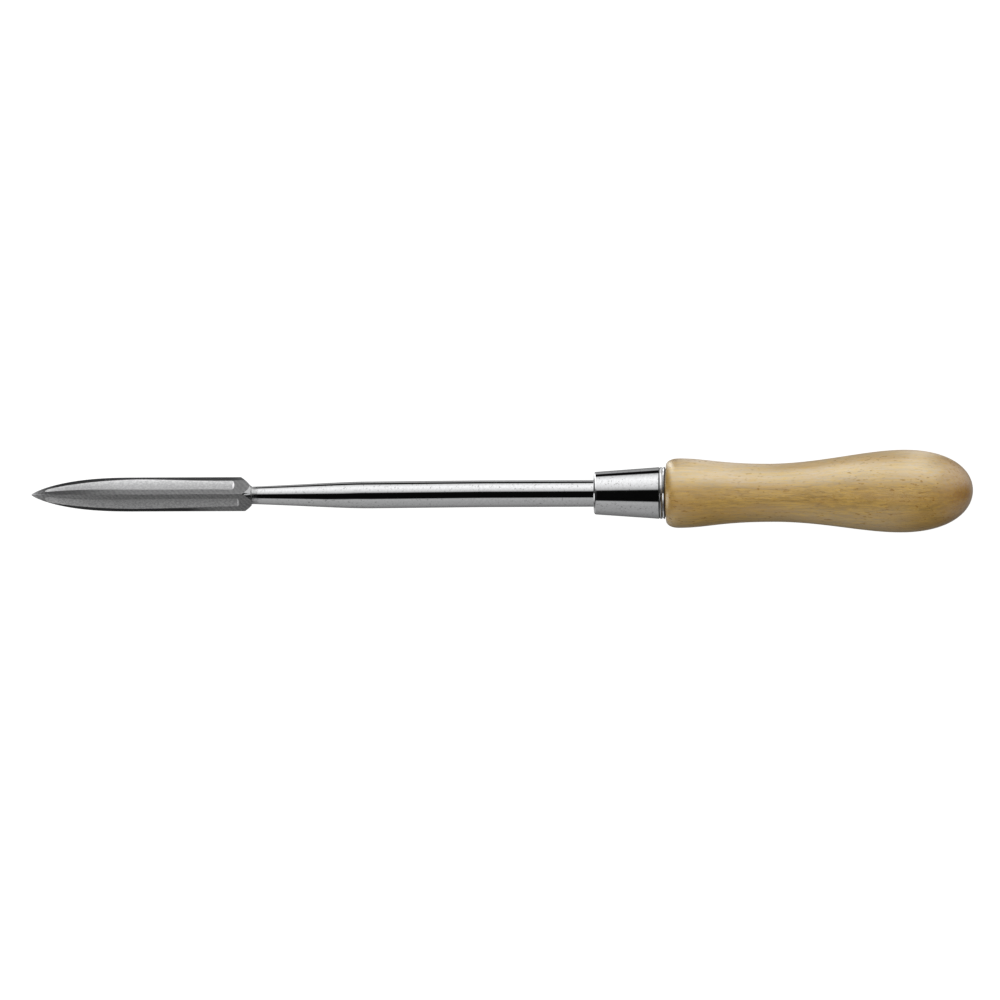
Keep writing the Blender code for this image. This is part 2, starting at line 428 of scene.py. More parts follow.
@dataclass(frozen=True)
class HollowGround(Finish):
    """Bare steel of the flutes, with fine wheel marks across them.

    Attributes:
        name: The material's name.
        pale: What its brightest spots reflect.
        dull: What its darkest spots reflect.
        shaded_steel: What is left of that where shade is painted on the +Y side.
        roughness: Its middle roughness.
        marks: The depth of the wheel marks, in millimetres.
    """

    name: str = "hollow_ground_steel"
    pale: Colour = (1.0, 1.0, 1.0, 1.0)
    dull: Colour = (0.72, 0.72, 0.727, 1.0)
    shaded_steel: Colour = (0.4, 0.4, 0.405, 1.0)
    roughness: float = 0.42
    marks: float = 0.012

    def sockets(self, shader: Shader, place: Value) -> dict[str, Operand]:
        """Lays out the finish.

        Args:
            shader: The material's nodes.
            place: A point's place on the tool.

        Returns:
            The values and links of the shader's sockets.
        """
        mottle = shader.noise(place, (1.2, 1.0, 1.0), detail=2.0, roughness=0.6).rise(0.36, 0.64)
        lines = shader.noise(place, (5.0, 0.5, 0.5), detail=2.0, roughness=0.6)
        steel = shader.mix(mottle, self.dull, self.pale)
        # Painted shade: the flutes are darker on the +Y side.
        plus_y_shade = shader.along(place, (0.0, 1.0, 0.0)).rise(-1.0, 1.0)
        return {
            "Base Color": shader.mix(0.54 * plus_y_shade, steel, self.shaded_steel),
            "Metallic": 1.0,
            "Roughness": self.roughness + 0.12 * (lines - 0.5),
            "Normal": shader.bump(lines + mottle, self.marks),
        }


@dataclass(frozen=True)
class LappedSteel(Finish):
    """Bare steel of the lands, the tip and the heel, stoned at a slant, dark along the edges and at the tip.

    Attributes:
        half_widths: The blade's half width at some distances from its tip, in millimetres.
        edge_shade_from: Where the painted shade of the edges begins and where it is full, in millimetres from
            the tip.
        edge_shade_to: Where it begins to fade and where it ends, in millimetres from the tip.
        tip_shade_to: Where the painted shade of the tip's +Y side begins to fade and where it is least, in
            millimetres.
        name: The material's name.
        pale: What it reflects between the stone's marks.
        dull: What the marks reflect.
        dark: What the painted shade along the edges and on the +Y side reflects.
        edge: How far in from the edges the painted shade begins to fade and where it ends, in millimetres.
        lag: How much later the painted shade fades on the +Y side, in millimetres.
        roughness: Its middle roughness.
        pitch: The space between the marks, in millimetres.
        marks: The depth of the marks, in millimetres.
        shade: How much of the tip's painted shade stays on the +Y side behind it.
    """

    half_widths: Outline
    edge_shade_from: Point
    edge_shade_to: Point
    tip_shade_to: Point
    name: str = "lapped_steel"
    pale: Colour = (0.61, 0.61, 0.61, 1.0)
    dull: Colour = (0.31, 0.31, 0.318, 1.0)
    dark: Colour = (0.06, 0.06, 0.062, 1.0)
    edge: tuple[float, float] = (1.0, 1.35)
    lag: float = 16.0
    roughness: float = 0.3
    pitch: float = 1.3
    marks: float = 0.0015
    shade: float = 0.38

    def sockets(self, shader: Shader, place: Value) -> dict[str, Operand]:
        """Lays out the finish.

        Args:
            shader: The material's nodes.
            place: A point's place on the tool.

        Returns:
            The values and links of the shader's sockets.
        """
        drift = shader.noise(place, (0.5, 0.5, 0.5), detail=2.0)
        slant = shader.along(place, (0.7, 0.7, 0.0)) / self.pitch + 1.2 * drift
        stripes = shader.operate("SINE", slant * math.tau) * 0.5 + 0.5
        patches = shader.noise(place, (1.2, 1.2, 1.2), detail=3.0, roughness=0.6).rise(0.3, 0.7)
        share = 0.35 * stripes + 0.65 * patches
        distance = shader.along(place, (1.0, 0.0, 0.0))
        length, widest = self.half_widths[-1]
        stops = [(at / length, half / widest) for at, half in self.half_widths]
        ramp = shader.node("ShaderNodeValToRGB", {"stops": stops}, {"Fac": distance / length})
        sideways = shader.along(place, (0.0, 1.0, 0.0))
        inwards = widest * ramp - abs(sideways)
        fade, end = self.edge
        lagging = distance - self.lag * sideways.rise(-1.0, 1.0)
        # Painted shade along the edges, which fades later on the +Y side.
        edge_shade_span = distance.rise(*self.edge_shade_from) * (1.0 - lagging.rise(*self.edge_shade_to))
        edge_shade = inwards.rise(end, fade) * edge_shade_span
        steel = shader.mix(share, self.dull, self.pale)
        # Painted shade on the +Y side, darkest at the tip.
        tip = distance.rise(*reversed(self.tip_shade_to))
        side_shade = sideways.rise(-0.3, 0.3) * (tip * (1.0 - self.shade) + self.shade)
        steel = shader.mix(side_shade * (0.7 + 0.3 * patches), steel, self.dark)
        return {
            "Base Color": shader.mix(edge_shade, steel, self.dark),
            "Metallic": 1.0,
            "Roughness": self.roughness + 0.02 * (patches - 0.5),
            "Normal": shader.bump(share, self.marks),
        }


@dataclass(frozen=True)
class LacqueredBeech(Finish):
    """Turned beech under satin lacquer.

    Attributes:
        butt_at: Where the end grain and painted shade at the butt begin and where they are full, in
            millimetres from the tip.
        name: The material's name.
        pale: The wood between the streaks.
        deep: The darker streaks of the grain.
        rosy: The warmer patches.
        fleck: The short rays and pores.
        end_grain_and_shade: The darker end grain at the rounded butt, where more lacquer soaks in, with
            painted shade where less light reaches it.
        relief: The depth of the grain under the lacquer, in millimetres.
    """

    butt_at: Point
    name: str = "lacquered_beech"
    pale: Colour = (0.605, 0.37, 0.084, 1.0)
    deep: Colour = (0.41, 0.236, 0.045, 1.0)
    rosy: Colour = (0.52, 0.298, 0.076, 1.0)
    fleck: Colour = (0.28, 0.12, 0.02, 1.0)
    end_grain_and_shade: Colour = (0.41, 0.186, 0.034, 1.0)
    relief: float = 0.05

    def sockets(self, shader: Shader, place: Value) -> dict[str, Operand]:
        """Lays out the finish.

        Args:
            shader: The material's nodes.
            place: A point's place on the tool.

        Returns:
            The values and links of the shader's sockets.
        """
        streaks = shader.noise(place, (0.025, 0.9, 0.9), detail=3.0, roughness=0.6).rise(0.34, 0.66)
        fibres = shader.noise(place, (0.09, 1.5, 1.5), detail=3.0, roughness=0.65)
        mottle = shader.noise(place, (0.5, 1.6, 1.6), detail=3.0, roughness=0.7)
        rays = shader.noise(place, (0.46, 1.5, 1.5), detail=1.0).rise(0.62, 0.71)
        patches = shader.noise(place, (0.05, 0.09, 0.09), detail=1.0).rise(0.4, 0.6)
        flush = shader.noise(place, (0.04, 0.2, 0.2), detail=2.0).rise(0.4, 0.62)
        flecked = rays * (0.4 + 0.6 * patches)
        grain = streaks * 0.6 + (fibres - 0.5) * 2.6 + (mottle - 0.5) * 2.0 + 0.2
        wood = shader.mix(flush * 0.5, shader.mix(grain, self.pale, self.deep), self.rosy)
        wood = shader.mix(flecked * 0.8, wood, self.fleck)
        # Darker end grain at the butt, partly painted shade there.
        ends = shader.along(place, (1.0, 0.0, 0.0)).rise(*self.butt_at)
        wood = shader.mix(ends * (0.55 + 0.45 * streaks), wood, self.end_grain_and_shade)
        return {
            "Base Color": wood,
            "Roughness": 0.38 + 0.3 * (fibres - 0.5) + 0.1 * flecked,
            "IOR": 1.9,
            "Specular Tint": (0.95, 1.0, 0.6, 1.0),
            "Coat Weight": 0.72 + 1.5 * (fibres - 0.5) + 1.2 * (mottle - 0.5) - 0.5 * flecked,
            "Coat Roughness": 0.36,
            "Coat IOR": 3.0,
            "Normal": shader.bump(fibres + 0.5 * mottle - 0.5 * flecked, self.relief),
        }


@dataclass(frozen=True)
class PaleFloor:
    """Plain white paper under the tool.

    Attributes:
        name: The material's name.
        glow: How bright it is by itself, so that it stays nearly white under soft shadow.
        color: How much of the light it sends back.
    """

    name: str = "pale_floor"
    glow: float = 0.92
    color: Colour = (0.25, 0.25, 0.25, 1.0)

    def material(self) -> bpy.types.Material:
        """Makes the material."""
        made = bpy.data.materials.new(self.name)
        shader = Shader(made)
        shader.surface({
            "Base Color": self.color,
            "Roughness": 1.0,
            "Specular IOR Level": 0.0,
            "Emission Color": (1.0, 1.0, 1.0, 1.0),
            "Emission Strength": self.glow,
        })
        return made


def bezier(first: Point, pull: Point, push: Point, last: Point, steps: int) -> Outline:
    """Draws a smooth curve between two points of an outline.

    Args:
        first: Where it starts. That point isn't repeated.
        pull: Where its start heads for.
        push: Where its end comes from.
        last: Where it ends.
        steps: How many points it has.

    Returns:
        The points after the first one.
    """
    points = []
    for step in range(1, steps + 1):
        t = step / steps
        shares = ((1 - t) ** 3, 3 * t * (1 - t) ** 2, 3 * t * t * (1 - t), t ** 3)
        pairs = list(zip(shares, (first, pull, push, last)))
        distance = sum(share * corner[0] for share, corner in pairs)
        radius = sum(share * corner[1] for share, corner in pairs)
        points.append((distance, radius))
    return points


class Lathe:
    """Draws a piece out of one ring, station by station, along a line that is parallel to X."""

    def __init__(self, name: str, start: Point, sides: int, filled: bool = True,
                 centre: Point = (0.0, 0.0)) -> None:
        """Adds the first ring and selects it.

        Args:
            name: The piece's name.
            start: The ring's distance along X and its radius, in millimetres.
            sides: How many corners it has, the first of them upwards.
            filled: Whether the ring is a disc, which closes both of the piece's ends.
            centre: Where its line is in Y and Z, in millimetres.
        """
        self.distance, self.radius = start
        self.centre = tuple(offset * MM for offset in centre)
        bpy.ops.object.select_all(action="DESELECT")
        bpy.ops.mesh.primitive_circle_add(
            vertices=sides,
            radius=self.radius * MM,
            fill_type="NGON" if filled else "NOTHING",
            location=(self.distance * MM, *self.centre),
            rotation=FACING_X,
            enter_editmode=True,
        )
        self.piece = bpy.context.active_object
        self.piece.name = name

    def draw(self, outline: Outline, drift: Point = (0.0, 0.0)) -> None:
        """Extrudes the ring through the stations of an outline.

        Args:
            outline: Each station's distance and radius, in millimetres.
            drift: How far the line moves in Y and Z for each millimetre along it.
        """
        for distance, radius in outline:
            step = (distance - self.distance) * MM
            aside = (step * drift[0], step * drift[1])
            bpy.ops.mesh.extrude_region_move(TRANSFORM_OT_translate={"value": (step, *aside)})
            share = radius / self.radius
            self.centre = (self.centre[0] + aside[0], self.centre[1] + aside[1])
            middle = (distance * MM, *self.centre)
            bpy.ops.transform.resize(value=(0.0, share, share), center_override=middle)
            self.distance = distance
            self.radius = radius

    def line(self, last: Point, steps: int, drift: Point = (0.0, 0.0)) -> None:
        """Draws the ring straight to a station.

        Args:
            last: The station's distance and radius, in millimetres.
            steps: How many even steps it takes.
            drift: How far the line moves in Y and Z for each millimetre along it.
        """
        distance, radius = self.distance, self.radius
        length, growth = last[0] - distance, last[1] - radius
        shares = [step / steps for step in range(1, steps + 1)]
        self.draw([(distance + length * share, radius + growth * share) for share in shares], drift)

    def curve(self, pull: Point, push: Point, last: Point, steps: int, drift: Point = (0.0, 0.0)) -> None:
        """Draws the ring along a smooth curve.

        Args:
            pull: The distance and radius that its start heads for, in millimetres.
            push: Where its end comes from.
            last: Where it ends.
            steps: How many steps it takes.
            drift: How far the line moves in Y and Z for each millimetre along it.
        """
        self.draw(bezier((self.distance, self.radius), pull, push, last, steps), drift)

    def lean(self, angle: float) -> None:
        """Leans the last ring sideways. The next one is flat again.

        Args:
            angle: How far its +Y side leans towards the tip, in degrees.
        """
        middle = (self.distance * MM, *self.centre)
        bpy.ops.transform.rotate(value=-math.radians(angle), orient_axis="Z", center_override=middle)

    def close_point(self) -> None:
        """Draws the last ring together into one point."""
        bpy.ops.mesh.merge(type="CENTER")

    def done(self) -> bpy.types.Object:
        """Merges rings that meet, turns the faces outwards and leaves edit mode.

        Returns:
            The piece, with its place in its mesh.
        """
        bpy.ops.mesh.select_all(action="SELECT")
        bpy.ops.mesh.remove_doubles(threshold=MM * 0.0005)
        bpy.ops.mesh.normals_make_consistent(inside=False)
        bpy.ops.object.mode_set(mode="OBJECT")
        bpy.ops.object.transform_apply(location=True, rotation=True, scale=True)
        return self.piece


def select_only(piece: bpy.types.Object) -> None:
    """Selects one piece and makes it the active one.

    Args:
        piece: The piece.
    """
    bpy.ops.object.select_all(action="DESELECT")
    bpy.context.view_layer.objects.active = piece
    piece.select_set(True)


def work(piece: bpy.types.Object, tool: bpy.types.Object, how: Work) -> None:
    """Lets one solid work on another and takes it away again.

    Args:
        piece: The solid that stays.
        tool: The solid that works on it. Its materials go with the faces that it makes.
        how: What it does.
    """
    modifier = piece.modifiers.new(how.name.lower(), "BOOLEAN")
    modifier.operation = how.value
    modifier.solver = "EXACT"
    modifier.material_mode = "TRANSFER"
    modifier.object = tool
    select_only(piece)
    bpy.ops.object.modifier_apply(modifier=modifier.name)
    mesh = tool.data
    bpy.data.objects.remove(tool)
    bpy.data.meshes.remove(mesh)


def put_in_frame(piece: bpy.types.Object, axis: ToolAxis, smooth: float) -> None:
    """Smooths a finished piece and moves its mesh to where the frame holds it.

    Args:
        piece: The piece, modelled with the tip at the origin.
        axis: The tool's axis.
        smooth: The greatest angle between faces that still look round, in degrees.
    """
    select_only(piece)
    bpy.ops.object.shade_smooth_by_angle(angle=math.radians(smooth))
    piece.matrix_world = axis.matrix()
    bpy.ops.object.transform_apply(location=True, rotation=True, scale=True)


def join_frame(piece: bpy.types.Object, node: Node) -> None:
    """Lets a piece stand for its node and move with the part's one body.

    Args:
        piece: The finished piece.
        node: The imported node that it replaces.
    """
    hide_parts(node.value)
    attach(piece, "root")
    LOG.info("%s: %d faces, stands for %s", piece.name, len(piece.data.polygons), node.value)


@dataclass(frozen=True)
class Hollow:
    """One hollow-ground face of the blade.

    Attributes:
        angle: Which way the face looks, in degrees from the upper edge.
        shifts: How far off the middle of the face it lies at its start, behind the point and at its end, in
            millimetres.
        end: Where it ends, in millimetres from the tip.
        depth: How deep it is at the heel, in millimetres.
        belly: How much deeper it is in the middle, in millimetres.
        onset: How slowly it deepens behind its start, as a power of the distance.
    """

    angle: float
    shifts: tuple[float, float, float]
    end: float
    depth: float
    belly: float
    onset: float

    @property
    def outwards(self) -> Point:
        """The unit vector square to the face, in Y and Z."""
        return math.sin(math.radians(self.angle)), math.cos(math.radians(self.angle))

    @property
    def across(self) -> Point:
        """The unit vector across the face, in Y and Z."""
        y, z = self.outwards
        return z, -y

    def depth_at(self, share: float) -> float:
        """Gives the hollow's depth.

        Args:
            share: How far along the hollow, from 0 to 1.

        Returns:
            The depth under the flat face, in millimetres.
        """
        return self.depth * share ** self.onset + self.belly * max(0.0, math.sin(math.pi * share)) ** 2.4


@dataclass
class ScraperBlade:
    """The blade with its neck, shank and tang, in millimetres.

    Attributes:
        edge_radius: From the axis to each cutting edge.
        nose_length: How far the point reaches back.
        nose_fullness: How round the point's sides are.
        nose_bluntness: How sharp the very tip is.
        tip_radius: The size of the very tip.
        edge_length: The straight part of the cutting edges.
        shoulder_length: The cone at the blade's heel.
        shoulder_radius: The cone's small end.
        shoulder_lean: How far the cone leans to one side, in degrees.
        neck_offset: How far the neck lies towards +Y off the blade's axis.
        shank_offset: How far the shank's rear half does.
        neck_radius: The thin neck.
        neck_fillet: The round between the cone and the neck.
        taper_length: From the neck to the full shank.
        shank_radius: The shank.
        shank_length: The straight shank in front of the ferrule.
        shank_entry: How far the shank goes into the ferrule.
        tang_length: The square tang in the handle.
        tang_step: How much smaller the tang's corners are than the shank.
        tang_tip: The tang's corner radius at its end.
        wheel_radius: The grinding wheel that hollows the faces.
        hollow_start: Where the hollows begin.
        hollow_runout: The round end of each hollow.
        hollows: The three hollows.
        frayed_length: How far behind the neck the plating is thin.
        spare: How much larger the bar and the turning's envelope are than what is cut from them.
    """

    edge_radius: float = 7.3
    nose_length: float = 39.1
    nose_fullness: float = 2.6
    nose_bluntness: float = 0.79
    tip_radius: float = 0.06
    edge_length: float = 39.6
    shoulder_length: float = 3.05
    shoulder_radius: float = 3.73
    shoulder_lean: float = 3.5
    neck_offset: float = -0.48
    shank_offset: float = -0.2
    neck_radius: float = 3.25
    neck_fillet: float = 0.6
    taper_length: float = 44.85
    shank_radius: float = 5.0
    shank_length: float = 82.2
    shank_entry: float = 1.2
    tang_length: float = 62.0
    tang_step: float = 0.4
    tang_tip: float = 2.47
    wheel_radius: float = 12.0
    hollow_start: float = 5.0
    hollow_runout: float = 1.0
    hollows: list[Hollow] = field(default_factory=lambda: [
        Hollow(60.0, (0.3, 1.1, 0.25), 75.8, 0.42, 0.33, 0.65),
        Hollow(-60.0, (-0.6, -0.85, 0.3), 77.5, 0.36, 0.21, 0.25),
        Hollow(180.0, (0.0, 0.0, 0.0), 76.5, 0.42, 0.27, 0.4),
    ])
    frayed_length: float = 4.5
    spare: float = 2.0

    @property
    def shoulder_at(self) -> float:
        """Where the cutting edges end."""
        return self.nose_length + self.edge_length

    @property
    def neck_at(self) -> float:
        """Where the neck is thinnest."""
        return self.shoulder_at + self.shoulder_length + self.neck_fillet

    @property
    def shank_at(self) -> float:
        """Where the shank has its full thickness."""
        return self.neck_at + self.taper_length

    @property
    def ferrule_at(self) -> float:
        """Where the shank meets the ferrule."""
        return self.shank_at + self.shank_length

    @property
    def shank_end(self) -> float:
        """Where the shank ends inside the ferrule."""
        return self.ferrule_at + self.shank_entry

    @property
    def frayed(self) -> Point:
        """Where the plating is thin and where it is whole."""
        return self.neck_at - self.neck_fillet, self.neck_at + self.frayed_length

    def edge_at(self, distance: float) -> float:
        """Gives the cutting edges' radius.

        Args:
            distance: How far behind the tip.

        Returns:
            The radius from the axis.
        """
        if distance >= self.nose_length:
            return self.edge_radius
        share = 1.0 - (1.0 - distance / self.nose_length) ** self.nose_fullness
        return self.tip_radius + (self.edge_radius - self.tip_radius) * share ** self.nose_bluntness

    def half_widths(self) -> Outline:
        """Gives the half width of the blade, seen from over an edge, along the point and the straight edges.

        Returns:
            Some distances, closer together near the tip, each with its half width.
        """
        steps = 22
        nose = [self.nose_length * (step / steps) ** 1.5 for step in range(steps + 1)]
        return [(distance, self.edge_at(distance) * WIDTH_SHARE) for distance in (*nose, self.shoulder_at)]

    def blank(self) -> bpy.types.Object:
        """Draws a triangular bar from the tip, thicker where the shank will be turned.

        Returns:
            The bar.
        """
        lathe = Lathe("blade_and_shank", (0.0, self.tip_radius), 3)
        steps = 48
        nose = [self.nose_length * (step / steps) ** 1.6 for step in range(1, steps + 1)]
        lathe.draw([(distance, self.edge_at(distance)) for distance in nose])
        stock = 2.0 * self.shank_radius + self.spare
        lathe.draw([(self.neck_at, self.edge_radius), (self.neck_at + 0.2, stock), (self.shank_end, stock)])
        return lathe.done()

    def turning(self) -> bpy.types.Object:
        """Draws the round envelope that the bar is turned down to behind its edges.

        Returns:
            The envelope.
        """
        outside = self.edge_radius + self.spare
        slope = self.shoulder_length / (self.edge_radius - self.shoulder_radius)
        cone_end = self.shoulder_at + self.shoulder_length
        rise = self.shank_radius - self.neck_radius
        lathe = Lathe("turning", (-1.0, outside), 192, centre=(self.neck_offset, 0.0))
        lathe.draw([(self.shoulder_at - self.spare * slope, outside)])
        lathe.lean(self.shoulder_lean)
        lathe.draw([(cone_end, self.shoulder_radius)])
        lathe.lean(self.shoulder_lean)
        lathe.curve(
            (cone_end + 0.3 * self.neck_fillet, self.neck_radius + 0.1),
            (self.neck_at - 0.4 * self.neck_fillet, self.neck_radius),
            (self.neck_at, self.neck_radius),
            steps=8,
        )
        lathe.curve(
            (self.neck_at + 0.58 * self.taper_length, self.neck_radius + 0.6 * rise),
            (self.shank_at - 0.26 * self.taper_length, self.shank_radius),
            (self.shank_at, self.shank_radius),
            steps=48,
        )
        half = 0.5 * self.shank_length
        slide = (self.shank_offset - self.neck_offset) / half
        lathe.line((self.shank_at + half, self.shank_radius), steps=6, drift=(slide, 0.0))
        lathe.line((self.ferrule_at, self.shank_radius), steps=6)
        bevel = 0.3
        lathe.draw([(self.shank_end - bevel, self.shank_radius), (self.shank_end, self.shank_radius - bevel)])
        return lathe.done()

    def wheel(self, hollow: Hollow) -> bpy.types.Object:
        """Draws the space that the grinding wheel takes out of one face.

        Args:
            hollow: The face's hollow.

        Returns:
            The barrel-shaped space.
        """
        reach = self.edge_radius * FACE_SHARE + self.wheel_radius - hollow.depth
        outwards, across = hollow.outwards, hollow.across
        first, middle, last = hollow.shifts
        body_end = hollow.end - self.hollow_runout
        steps, end_steps = 72, 16
        outline = []
        for step in range(steps + 1):
            share = step / steps
            distance = self.hollow_start + (body_end - self.hollow_start) * share
            face = self.edge_at(distance) * FACE_SHARE
            outline.append((distance, reach - face + hollow.depth_at(share)))
        full = outline[-1][1]
        lift = hollow.depth + 0.12
        for step in range(1, end_steps + 1):
            share = step / end_steps
            outline.append((body_end + self.hollow_runout * share, full - lift * share ** 2))
        centre = tuple(reach * out + first * aside for out, aside in zip(outwards, across))
        lathe = Lathe("wheel", outline[0], 240, centre=centre)
        point = [station for station in outline[1:] if station[0] < self.nose_length]
        edges = outline[1 + len(point):]
        for stations, shift in ((point, middle - first), (edges, last - middle)):
            slide = shift / (stations[-1][0] - lathe.distance)
            lathe.draw(stations, drift=(slide * across[0], slide * across[1]))
        return lathe.done()

    def tang(self, grow: float = 0.0) -> bpy.types.Object:
        """Draws the square tang, or the hole for it.

        Args:
            grow: How much larger it is all round.

        Returns:
            The tapered spike.
        """
        root = self.shank_radius - self.tang_step + grow
        lathe = Lathe("tang", (self.shank_end - 0.5 - grow, root), 4)
        lathe.draw([(self.shank_end + self.tang_length + grow, self.tang_tip + grow)])
        return lathe.done()

    def build(self, lands: bpy.types.Material, flutes: bpy.types.Material,
              plating: bpy.types.Material) -> bpy.types.Object:
        """Turns down the bar, grinds its faces and dresses them.

        Args:
            lands: The finish of the lands, the tip and the heel.
            flutes: The finish of the hollows.
            plating: The finish of the neck and the shank.

        Returns:
            The blade, with the tip at the origin.
        """
        blade = self.blank()
        blade.data.materials.append(lands)
        envelope = self.turning()
        envelope.data.materials.append(plating)
        work(blade, envelope, Work.TURN_DOWN)
        for hollow in self.hollows:
            wheel = self.wheel(hollow)
            wheel.data.materials.append(flutes)
            work(blade, wheel, Work.CUT_AWAY)
        tang = self.tang()
        tang.data.materials.append(lands)
        work(blade, tang, Work.FORGE_ON)
        return blade


@dataclass
class Ferrule:
    """The plated cup between the shank and the handle, in millimetres.

    Attributes:
        start: Where its front face is, from the blade's tip.
        offset: How far it lies towards +Y off the blade's axis.
        length: From its front face to its rear rim.
        hole_radius: The hole for the shank.
        front_radius: Its small end.
        rear_radius: Its large end.
        wall: The thickness of its side.
        front_wall: The thickness of its front.
        corner: The round of its front edge.
        bead_width: The rolled bead and the rim behind it.
        groove: The groove in front of the bead.
        crest: How far the bead and the rim stand out.
    """

    start: float
    offset: float
    length: float = 26.5
    hole_radius: float = 5.17
    front_radius: float = 7.9
    rear_radius: float = 9.6
    wall: float = 1.1
    front_wall: float = 1.2
    corner: float = 0.8
    bead_width: float = 1.85
    groove: float = 0.45
    crest: float = 0.12

    @property
    def end(self) -> float:
        """Where its rear rim is."""
        return self.start + self.length

    @property
    def bead_at(self) -> float:
        """Where its bead begins."""
        return self.end - self.bead_width

    @property
    def seams(self) -> Outline:
        """Where shade is painted: in the groove and behind the rim."""
        inset = 0.05
        return [(self.bead_at - self.groove + inset, self.bead_at - inset), (self.end - 0.3, self.end + 1.0)]

    @property
    def seat_radius(self) -> float:
        """The middle of its flat front face."""
        return (self.hole_radius + self.front_radius - self.corner) / 2

    @property
    def inside(self) -> Point:
        """Its inner radius at the front and at the rear."""
        return self.front_radius - self.wall, self.rear_radius - self.wall

    def build(self, plating: bpy.types.Material) -> bpy.types.Object:
        """Draws the cup from its hole, over its outside and back through its inside.

        Args:
            plating: Its finish.

        Returns:
            The cup, with the tool's tip at the origin.
        """
        front_inside, rear_inside = self.inside
        side = self.rear_radius
        bead_at = self.bead_at
        rim_at = bead_at + 0.38 * self.bead_width
        crest_at = self.end - 0.35
        centre = (self.offset, 0.0)
        lathe = Lathe("ferrule_cup", (self.start, self.hole_radius), 192, filled=False, centre=centre)
        lathe.draw([(self.start, self.front_radius - self.corner)])
        lathe.curve(
            (self.start, self.front_radius - 0.45 * self.corner),
            (self.start + 0.45 * self.corner, self.front_radius),
            (self.start + self.corner, self.front_radius + 0.03),
            steps=10,
        )
        lathe.line((bead_at - self.groove, side), steps=24)
        lathe.curve(
            (bead_at - 0.8 * self.groove, side - 0.4),
            (bead_at - 0.2 * self.groove, side - 0.4),
            (bead_at, side),
            steps=10,
        )
        lathe.curve(
            (bead_at + 0.15, side + self.crest),
            (rim_at - 0.15, side + self.crest),
            (rim_at, side - 0.05),
            steps=12,
        )
        lathe.curve(
            (rim_at + 0.05, side - 0.35),
            (rim_at + 0.12, side - 0.35),
            (rim_at + 0.2, side - 0.3),
            steps=6,
        )
        lathe.line((crest_at, side + self.crest), steps=6)
        lathe.curve(
            (crest_at + 0.1, side + 0.15),
            (self.end - 0.15, side),
            (self.end - 0.15, side - 0.3),
            steps=8,
        )
        lathe.draw([
            (self.end, side - 0.6),
            (self.end, rear_inside),
            (self.start + self.front_wall, front_inside),
            (self.start + self.front_wall, self.hole_radius),
            (self.start, self.hole_radius),
        ])
        cup = lathe.done()
        cup.data.materials.append(plating)
        return cup


@dataclass
class BeechHandle:
    """The turned handle with its tenon and the hole for the tang, in millimetres.

    Attributes:
        start: Where its front shoulder is, from the blade's tip.
        offset: How far its front half lies towards +Y off the blade's axis.
        tenon_at: Where its tenon begins inside the ferrule.
        tenon: The tenon's radius at its front and at the shoulder.
        tenon_chamfer: The bevel of the tenon's front.
        face_radius: The flat of the shoulder.
        corner_length: The round behind it.
        shoulder_radius: The front swell.
        waist_length: From the front swell to the waist.
        waist_radius: The waist.
        swell_length: From the waist to the palm swell.
        swell_radius: The palm swell.
        butt_length: From the palm swell to the butt.
        askew: How far its rear half turns towards +Y, for each millimetre of its length.
    """

    start: float
    offset: float
    tenon_at: float
    tenon: Point
    tenon_chamfer: float = 1.0
    face_radius: float = 10.45
    corner_length: float = 4.9
    shoulder_radius: float = 12.91
    waist_length: float = 33.6
    waist_radius: float = 10.8
    swell_length: float = 49.6
    swell_radius: float = 15.35
    butt_length: float = 25.9
    askew: float = 0.0092

    @property
    def end(self) -> float:
        """Where its butt ends."""
        return self.start + self.corner_length + self.waist_length + self.swell_length + self.butt_length

    def build(self, hole: bpy.types.Object, beech: bpy.types.Material) -> bpy.types.Object:
        """Turns the handle and bores the hole for the tang.

        Args:
            hole: The space that the tang needs.
            beech: Its finish.

        Returns:
            The handle, with the tool's tip at the origin.
        """
        shoulder = self.start + self.corner_length
        waist = shoulder + self.waist_length
        swell = waist + self.swell_length
        front, rear = self.tenon
        first = (self.tenon_at, front - self.tenon_chamfer)
        lathe = Lathe("beech_handle", first, 160, centre=(self.offset, 0.0))
        lathe.draw([
            (self.tenon_at + self.tenon_chamfer, front),
            (self.start, rear),
            (self.start, self.face_radius),
        ])
        rise = self.shoulder_radius - self.face_radius
        lathe.curve(
            (self.start, self.face_radius + 0.1 * rise),
            (shoulder - 0.93 * self.corner_length, self.shoulder_radius),
            (shoulder, self.shoulder_radius),
            steps=18,
        )
        lathe.curve(
            (shoulder + 0.3 * self.waist_length, self.shoulder_radius),
            (waist - 0.55 * self.waist_length, self.waist_radius),
            (waist, self.waist_radius),
            steps=28,
        )
        lathe.curve(
            (waist + 0.39 * self.swell_length, self.waist_radius),
            (swell - 0.3 * self.swell_length, self.swell_radius),
            (swell, self.swell_radius),
            steps=36,
            drift=(self.askew, 0.0),
        )
        butt = bezier(
            (swell, self.swell_radius),
            (swell + 0.66 * self.butt_length, self.swell_radius),
            (self.end, 0.53 * self.swell_radius),
            (self.end, 0.0),
            steps=36,
        )
        lathe.draw(butt[:-1], drift=(self.askew, 0.0))
        lathe.draw([(self.end, 0.5 * butt[-2][1])])
        lathe.close_point()
        handle = lathe.done()
        handle.data.materials.append(beech)
        work(handle, hole, Work.CUT_AWAY)
        return handle


@dataclass(frozen=True)
class Screen:
    """One part of the room, which reaches towards +X up to where the next part begins.

    Attributes:
        start: Where it begins, as the X part of a unit vector that points there.
        levels: Its brightness at some places, by the angle from straight up towards +Y in degrees.
        end_wall: Whether the places are Y parts of the unit vector instead.
    """

    start: float
    levels: Outline
    end_wall: bool = False


